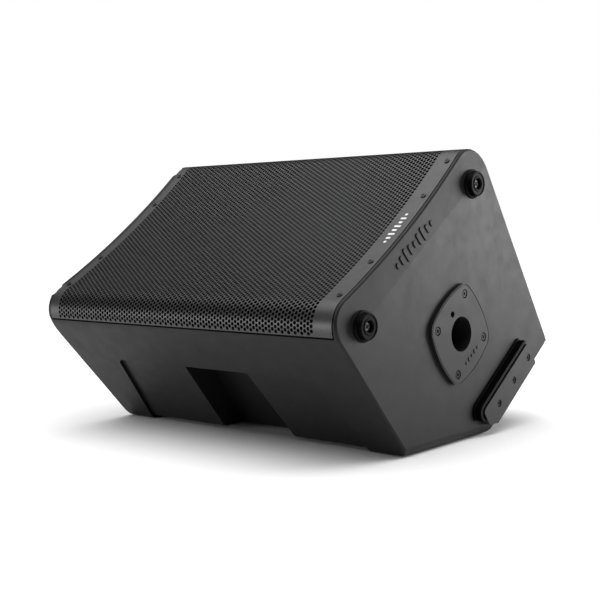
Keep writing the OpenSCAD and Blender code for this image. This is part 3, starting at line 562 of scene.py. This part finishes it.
MATERIALS = {
    "cabinet_plastic": moulded_plastic("cabinet plastic", (0.0095, 0.0095, 0.0098),
                                       rough=(0.42, 0.50), shine=0.2),
    # The baffle is black plastic. Its near black, dull colour, far darker than the cabinet's plastic, is
    # partly painted shade where it shows behind the grille's holes and gaps.
    "baffle_plastic": moulded_plastic("baffle plastic painted shade", (0.001, 0.001, 0.001), rough=(0.6, 0.7), shine=0.05),
    "grille_steel": powder_coat("grille steel", (0.0175, 0.0175, 0.0178), (0.36, 0.44), 0.5),
    # The foam is black. Its near zero colour goes darker than that as painted shade inside the grille's
    # holes.
    "black_foam": foam("black foam with painted shade", (0.0008, 0.0008, 0.0008)),
    "black_screw": bright_metal("black screw", (0.003, 0.003, 0.003), (0.3, 0.42), metal=0.2),
    "zinc_screw": bright_metal("zinc screw", (0.012, 0.012, 0.0124), (0.26, 0.38)),
    "badge_white": printed_paint("badge white", (0.78, 0.78, 0.78)),
    "black_rubber": rubber("black rubber", (0.001, 0.001, 0.001), (0.4, 0.5), 0.05),
    "clamp_plastic": moulded_plastic("clamp plastic", (0.014, 0.014, 0.0143), 0.6, 0.02, shine=0.22),
    "woofer_frame": powder_coat("woofer frame", (0.02, 0.02, 0.021)),
    "ferrite": moulded_plastic("ferrite", (0.035, 0.035, 0.038), 0.5, 0.02, (0.5, 0.7)),
    "plated_steel": bright_metal("plated steel", (0.55, 0.55, 0.56), (0.25, 0.4)),
    "spider_cloth": woven_cloth("spider cloth", (0.42, 0.26, 0.07)),
    "cone_paper": pressed_paper("cone paper", (0.016, 0.016, 0.016)),
    "copper_wire": wound_wire("copper wire", (0.62, 0.25, 0.1)),
    "horn_plastic": moulded_plastic("horn plastic", (0.012, 0.012, 0.012), 0.6, 0.02),
    "driver_metal": bright_metal("driver metal", (0.2, 0.2, 0.21), (0.35, 0.5)),
    "diaphragm_metal": bright_metal("diaphragm metal", (0.7, 0.7, 0.72), (0.15, 0.25)),
    "lining_wool": felt("lining wool", (0.24, 0.25, 0.27)),
    "panel_metal": powder_coat("panel metal", (0.014, 0.014, 0.015)),
    "heat_sink_metal": bright_metal("heat sink metal", (0.035, 0.035, 0.037), (0.35, 0.5), (0.1, 1, 1), 0.7),
    "circuit_board": circuit_board("circuit board", (0.01, 0.11, 0.035)),
    "capacitor_sleeve": sleeve("capacitor sleeve", (0.012, 0.03, 0.14)),
    "lead_sleeve": rubber("lead sleeve", (0.25, 0.012, 0.012), (0.4, 0.5)),
    "socket_plastic": moulded_plastic("socket plastic", (0.012, 0.012, 0.012), 0.4, 0.01, (0.35, 0.45)),
    "control_metal": bright_metal("control metal", (0.4, 0.4, 0.41), (0.3, 0.45)),
    "rocker_red": moulded_plastic("rocker red", (0.30, 0.01, 0.01), 0.5, 0.008, (0.18, 0.26)),
    "knob_plastic": moulded_plastic("knob plastic", (0.028, 0.028, 0.029), 0.5, 0.02, (0.45, 0.55)),
    "light_lens": glowing_lens("light lens", (0.05, 0.45, 0.1)),
}
# The holes' walls are the grille's own steel; this near black, dull coat on them is painted shade inside the
# holes.
HOLE_WALL_SHADE = powder_coat("grille hole walls painted shade", (0.002, 0.002, 0.002), (0.6, 0.7), 0.04)


def paint(piece, slot):
    """Gives a piece its one material."""
    piece.data.materials.clear()
    piece.data.materials.append(MATERIALS[slot])


# ---------------------------------------------------------------- the grille
class BentSheet:
    """A sheet drawn flat, with x along the cabinet and s along a line in (u, n), and bent to that line."""

    def __init__(self, work, line):
        self.work = work
        self.line = line
        self.lengths = [0.0]
        for a, b in zip(line, line[1:]):
            self.lengths.append(self.lengths[-1] + (b - a).length)
        self.shared = {}

    def place(self, x, s, depth=0.0):
        """The point at (x, s), pushed in by depth."""
        k = min(max(bisect.bisect(self.lengths, s), 1), len(self.line) - 1)
        a, b = self.line[k - 1], self.line[k]
        share = (s - self.lengths[k - 1]) / (self.lengths[k] - self.lengths[k - 1])
        run = (self.line[min(k + 1, len(self.line) - 1)] - self.line[max(k - 2, 0)]).normalized()
        point = a.lerp(b, share) - Vector((run.y, -run.x)) * depth
        return x, point.x, point.y

    def vertex(self, x, s, depth=0.0):
        """A vertex that neighbouring faces share."""
        key = round(x, 2), round(s, 2), depth
        if key not in self.shared:
            self.shared[key] = self.work.verts.new(self.place(x, s, depth))
        return self.shared[key]

    def ring(self, x, s, radius, count, depth=0.0):
        """Vertices of a round hole about (x, s)."""
        turns = [2 * math.pi * k / count for k in range(count)]
        return [self.work.verts.new(self.place(x + radius * math.cos(t), s + radius * math.sin(t), depth))
                for t in turns]

    def face(self, *corners):
        """A face that looks out of the sheet's front."""
        return self.work.faces.new(corners[::-1])

    def strip(self, chain, to_edge):
        """Quads from a chain of (x, s) points to an edge, and the sheet's thickness along that edge."""
        for a, b in zip(chain, chain[1:]):
            a_edge, b_edge = to_edge(a), to_edge(b)
            self.face(self.vertex(*a), self.vertex(*b), self.vertex(*b_edge), self.vertex(*a_edge))
            self.face(self.vertex(*a_edge), self.vertex(*b_edge),
                      self.vertex(*b_edge, SHEET), self.vertex(*a_edge, SHEET))


class Perforation:
    """The lattice of holes: columns stand side by side along x, every other one half a pitch higher."""

    def __init__(self, total):
        self.total = total
        width = HOLE_X[1] - HOLE_X[0] - 2 * HOLE_RADIUS
        self.last = round(width / (HOLE_PITCH * math.cos(math.pi / 6)))
        self.step = width / self.last
        self.reach = self.step * 2 / 3
        self.half = HOLE_PITCH / 2
        self.rows = int((total - 2 * (HOLE_RADIUS + SHEET_EDGE)) / HOLE_PITCH)
        self.start = (total - self.rows * HOLE_PITCH) / 2
        self.end = total - self.start

    def x(self, column):
        """Place of a column along the cabinet."""
        return HOLE_X[0] + HOLE_RADIUS + column * self.step

    def centres(self, column):
        """Heights of the holes of a column."""
        odd = column % 2
        first = self.start + odd * self.half
        return [first + row * HOLE_PITCH for row in range(self.rows + 1 - odd)]

    def cell(self, x, s):
        """The six corners of the hexagon around a hole."""
        r, h = self.reach, self.half
        return [(x + r, s), (x + r / 2, s + h), (x - r / 2, s + h),
                (x - r, s), (x - r / 2, s - h), (x + r / 2, s - h)]

    def long_edge(self, column, low):
        """Points between a column's first or last hole and the long edge, in the order of x."""
        x, r = self.x(column), self.reach
        level = self.start if low else self.end
        if column % 2:
            return [(x - r / 2, level), (x + r / 2, level)]
        outer = level - self.half if low else level + self.half
        chain = [(x - r / 2, outer), (x + r / 2, outer)]
        before = [] if column == 0 else [(x - r, level)]
        after = [] if column == self.last else [(x + r, level)]
        return before + chain + after

    def short_edge(self, column, side):
        """The zigzag of points between an end column and the sheet's short edge, in the order of s."""
        x, r = self.x(column), self.reach
        chain = []
        for s in self.centres(column):
            chain += [(x + side * r / 2, s - self.half), (x + side * r, s)]
        chain.append((x + side * r / 2, self.centres(column)[-1] + self.half))
        return [(chain[0][0], 0.0)] + chain + [(chain[-1][0], self.total)]


def perforated_part(work, line, columns):
    """The sheet around the holes of some columns, with its plain borders."""
    sheet = BentSheet(work, line)
    holes = Perforation(sheet.lengths[-1])
    per_side = HOLE_SIDES // 6
    for column in columns:
        x = holes.x(column)
        for s in holes.centres(column):
            rim = sheet.ring(x, s, HOLE_RADIUS, HOLE_SIDES)
            back = sheet.ring(x, s, HOLE_RADIUS, HOLE_SIDES, SHEET)
            cell = [sheet.vertex(*corner) for corner in holes.cell(x, s)]
            for k in range(6):
                arc = [rim[(k * per_side + i) % HOLE_SIDES] for i in range(per_side + 1)]
                sheet.face(cell[k], cell[(k + 1) % 6], *reversed(arc))
            for k in range(HOLE_SIDES):
                after = (k + 1) % HOLE_SIDES
                # The hole walls take the second material, which is painted shade inside the holes.
                sheet.face(rim[k], rim[after], back[after], back[k]).material_index = 1
        sheet.strip(holes.long_edge(column, True)[::-1], lambda p: (p[0], 0.0))
        sheet.strip(holes.long_edge(column, False), lambda p: (p[0], holes.total))
    if 0 in columns:
        sheet.strip(holes.short_edge(0, -1), lambda p: (GRILLE_X[0], p[1]))
    if holes.last in columns:
        sheet.strip(holes.short_edge(holes.last, 1)[::-1], lambda p: (GRILLE_X[1], p[1]))


def grille_pieces():
    """The perforated sheet, in parts that meet along a column of holes."""
    line = grille_line()
    last = Perforation(sum((b - a).length for a, b in zip(line, line[1:]))).last
    per_part = math.ceil((last + 1) / SHEET_PARTS)
    for part in range(SHEET_PARTS):
        columns = range(part * per_part, min((part + 1) * per_part, last + 1))
        mesh = mesh_from("grille sheet", lambda work: perforated_part(work, line, columns))
        sheet = new_piece(f"grille_sheet_{part + 1}", mesh)
        smooth(sheet, 40)
        paint(sheet, "grille_steel")
        # Second material: painted shade on the walls of the holes.
        sheet.data.materials.append(HOLE_WALL_SHADE)
        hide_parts("grille")


# ---------------------------------------------------------------- node by node
# Radius and segments of the edge rounds; the other nodes have SMALL_BEVEL
SMALL_BEVEL = (0.3, 2)
BEVELS = {
    "rear_shell": (1.6, 3), "front_baffle": (0.6, 2), "pole_socket": (0.6, 3),
    "rail_foot_rubber": (0.4, 2), "rail_foot_plate": (0.8, 3), "round_feet": (0.4, 3),
    "grille_screws": (0.2, 2), "grille_badge": (0.15, 2),
}
for record_part in frame["record"]["subparts"]:
    node = record_part["node"]
    if node == "grille":
        continue
    paint(refined(node, *BEVELS.get(node, SMALL_BEVEL)), record_part["material_slot"])
grille_pieces()


# ---------------------------------------------------------------- small raised and printed marks
def stacked(work, rings):
    """A closed shape through rings of points, from the lowest to the highest."""
    levels = [[work.verts.new(point) for point in ring] for ring in rings]
    count = len(levels[0])
    for low, high in zip(levels, levels[1:]):
        for k in range(count):
            work.faces.new((low[k], low[(k + 1) % count], high[(k + 1) % count], high[k]))
    work.faces.new(levels[0][::-1])
    work.faces.new(levels[-1])


def round_bar(work, place, centre, length, width, rise, chamfer, sink=0.1):
    """A bar with round ends along b. place turns (a, b, height) into a point."""
    def outline(inset):
        radius = width / 2 - inset
        ends = [(length - width) / 2, (width - length) / 2]
        turns = [[math.pi * k / 8 + start for k in range(9)] for start in (0, math.pi)]
        return [(centre[0] + radius * math.cos(t), centre[1] + end + radius * math.sin(t))
                for end, arc in zip(ends, turns) for t in arc]
    levels = ((-sink, 0.0), (rise - chamfer, 0.0), (rise - chamfer * 0.3, chamfer * 0.3), (rise, chamfer))
    stacked(work, [[place(a, b, height) for a, b in outline(inset)] for height, inset in levels])


def on_end_band(u, n, height):
    """A point over the near end face's front band, which leans in towards the front."""
    lean = LEAN_IN * max(n - CREASE_N, 0) / (FRONT_REACH - CREASE_N)
    return HALF_LENGTH - lean + height, u, n


def on_plate(u, n, height):
    """A point over the pole socket's plate."""
    return HALF_LENGTH + PLATE + height, u, n


def on_panel(x, u, height):
    """A point over the rear panel's outer face."""
    return x, u, PANEL_N - height


def row_of_bars(work, place, middle, pitch, lengths, width, rise, chamfer):
    """Raised bars side by side along a, like a plain level meter."""
    for k, length in enumerate(lengths):
        a = middle[0] + (k - (len(lengths) - 1) / 2) * pitch
        round_bar(work, place, (a, middle[1]), length, width, rise, chamfer)


def end_emblem(work):
    """Nine bars on the end face's front band."""
    lengths = (6.5, 10.0, 15.0, 11.5, 8.0, 13.0, 15.5, 9.5, 6.5)
    row_of_bars(work, on_end_band, (-2.0, 116.0), 8.4, lengths, 5.0, 1.1, 0.3)


def plate_mark(work):
    """Five short bars under the pole socket's bore."""
    lengths = (3.2, 5.0, 3.6, 5.0, 3.2)
    row_of_bars(work, on_plate, (1.4, -29.8), 6.2, lengths, 3.2, 0.8, 0.25)


def tick(work, x, u, turn, inner, outer, width):
    """A printed line from inner to outer around (x, u); turn runs from up, clockwise from outside."""
    along = Vector((-math.sin(turn), math.cos(turn)))
    aside = Vector((along.y, -along.x)) * width / 2
    middle = Vector((x, u))
    corners = [middle + along * inner - aside, middle + along * outer - aside,
               middle + along * outer + aside, middle + along * inner + aside]
    stacked(work, [[on_panel(c.x, c.y, height) for c in corners] for height in (-0.05, PRINT_RISE)])


def knob_scale(work, x):
    """Ticks around a knob, longer at both ends and in the middle, which lies below the knob."""
    for k in range(SCALE_STEPS + 1):
        turn = math.radians(180 + SCALE_TURN * (k / SCALE_STEPS - 0.5))
        outer = SCALE_INNER + (2.4 if k in (0, SCALE_STEPS // 2, SCALE_STEPS) else 1.4)
        tick(work, x, KNOB_U, turn, SCALE_INNER, outer, 0.5)


def rule(work, x, u, length):
    """A printed line along the panel from (x, u)."""
    tick(work, x, u, math.radians(-90), 0, length, 0.6)


def panel_print(work):
    """The knobs' scales, a line over each socket and one under the knobs; no lettering."""
    for x in GAIN_X + (PRESET_X,):
        knob_scale(work, x)
    for x in GAIN_X:
        rule(work, x - 13, SOCKET_U + 16.5, 26)
    rule(work, GAIN_X[0] - 14, KNOB_U - 13.5, 112)


def knob_pointer(x, reach):
    """The white line in a knob's groove, which points down the panel at rest."""
    def build(work):
        left, right = x - POINTER_WIDTH / 2, x + POINTER_WIDTH / 2
        tip, root = KNOB_U - reach, KNOB_U - 0.8
        corners = [(left, tip), (left, root), (right, root), (right, tip)]
        levels = (KNOB_FRONT - 0.9, KNOB_FRONT - 0.35)
        stacked(work, [[on_panel(a, b, height) for a, b in corners] for height in levels])
    return build


def add_mark(name, build, slot, body="cabinet"):
    """Adds a mark as a piece, with all its faces turned outwards."""
    mark = new_piece(name, mesh_from(name, build), body)
    work = bmesh.new()
    work.from_mesh(mark.data)
    bmesh.ops.recalc_face_normals(work, faces=work.faces)
    work.to_mesh(mark.data)
    work.free()
    paint(mark, slot)


add_mark("end_emblem", end_emblem, "cabinet_plastic")
add_mark("pole_plate_mark", plate_mark, "clamp_plastic")
add_mark("rear_panel_print", panel_print, "badge_white")
for node, x, reach in (("gain_knob_a", GAIN_X[0], 4.2), ("gain_knob_b", GAIN_X[1], 4.2),
                       ("gain_knob_aux", GAIN_X[2], 4.2), ("preset_knob", PRESET_X, 5.2)):
    add_mark(node + "_line", knob_pointer(x, reach), "badge_white", frame["nodes"][node]["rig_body"])


# ---------------------------------------------------------------- camera, floor and lights
FLOOR_HALF = 9.0


def make_camera():
    """The photograph's place and lens."""
    data = bpy.data.cameras.new("camera")
    data.sensor_width = 36
    data.lens = 68.385
    data.clip_end = 20
    camera = bpy.data.objects.new("camera", data)
    bpy.context.scene.collection.objects.link(camera)
    azimuth, pitch, roll = (math.radians(a) for a in (42.098, 4.660, 1.607))
    ahead = Vector((-math.sin(azimuth) * math.cos(pitch), math.cos(azimuth) * math.cos(pitch),
                    -math.sin(pitch)))
    level = Vector((math.cos(azimuth), math.sin(azimuth), 0))
    down = ahead.cross(level)
    right = math.cos(roll) * level + math.sin(roll) * down
    up = -(math.cos(roll) * down - math.sin(roll) * level)
    turn = Matrix((right, up, -ahead)).transposed().to_4x4()
    camera.matrix_world = Matrix.Translation((0.8618, -0.9495, 0.2439)) @ turn
    bpy.context.scene.camera = camera


def make_floor():
    """A wide flat floor, white under the light."""
    def build(work):
        corners = [(-1, -1), (1, -1), (1, 1), (-1, 1)]
        work.faces.new([work.verts.new((x * FLOOR_HALF, y * FLOOR_HALF, 0)) for x, y in corners])
    mesh = mesh_from("floor", build, Matrix.Identity(4))
    floor = bpy.data.objects.new("floor", mesh)
    bpy.context.scene.collection.objects.link(floor)
    shader = Shader("floor white")
    shader.blend(shader.noise(300, 2), (0.85, 0.85, 0.85), (0.87, 0.87, 0.87))
    shader.rough(shader.noise(80, 2), 0.6, 0.7)
    shader.shine(0.0)
    mesh.materials.append(shader.material)


def add_light(name, place, target, size, power):
    """A rectangular lamp at a place, turned to a target."""
    data = bpy.data.lights.new(name, "AREA")
    data.shape = "RECTANGLE"
    data.size, data.size_y = size
    data.energy = power
    light = bpy.data.objects.new(name, data)
    bpy.context.scene.collection.objects.link(light)
    light.location = place
    light.rotation_mode = "QUATERNION"
    light.rotation_quaternion = (Vector(target) - Vector(place)).to_track_quat("-Z", "Y")


def add_sun(name, direction, strength, angle):
    """The overhead light: a wide soft disc far away."""
    data = bpy.data.lights.new(name, "SUN")
    data.energy = strength
    data.angle = math.radians(angle)
    light = bpy.data.objects.new(name, data)
    bpy.context.scene.collection.objects.link(light)
    light.rotation_mode = "QUATERNION"
    light.rotation_quaternion = Vector(direction).to_track_quat("-Z", "Y")


def make_world(fill, backdrop):
    """A white backdrop behind the object that gives only a little fill light."""
    world = bpy.data.worlds.new("studio")
    world.use_nodes = True
    nodes, links = world.node_tree.nodes, world.node_tree.links
    seen = nodes.new("ShaderNodeLightPath")
    level = nodes.new("ShaderNodeMapRange")
    level.inputs["To Min"].default_value = fill
    level.inputs["To Max"].default_value = backdrop
    links.new(seen.outputs["Is Camera Ray"], level.inputs["Value"])
    links.new(level.outputs["Result"], nodes["Background"].inputs["Strength"])
    nodes["Background"].inputs["Color"].default_value = (1, 1, 1, 1)
    bpy.context.scene.world = world


make_camera()
make_floor()
make_world(fill=0.065, backdrop=1.0)
add_sun("overhead light", (0.1, 0.1, -1), 3.9, 80)
add_light("right rear softbox", (1.0, 1.3, 0.5), (0.22, 0.02, 0.15), (1.0, 1.0), 24.5)
add_light("left low strip", (-0.7, -1.1, 0.14), (0.0, -0.1, 0.12), (0.9, 0.22), 4.6)
bpy.context.scene.view_settings.view_transform = "Standard"
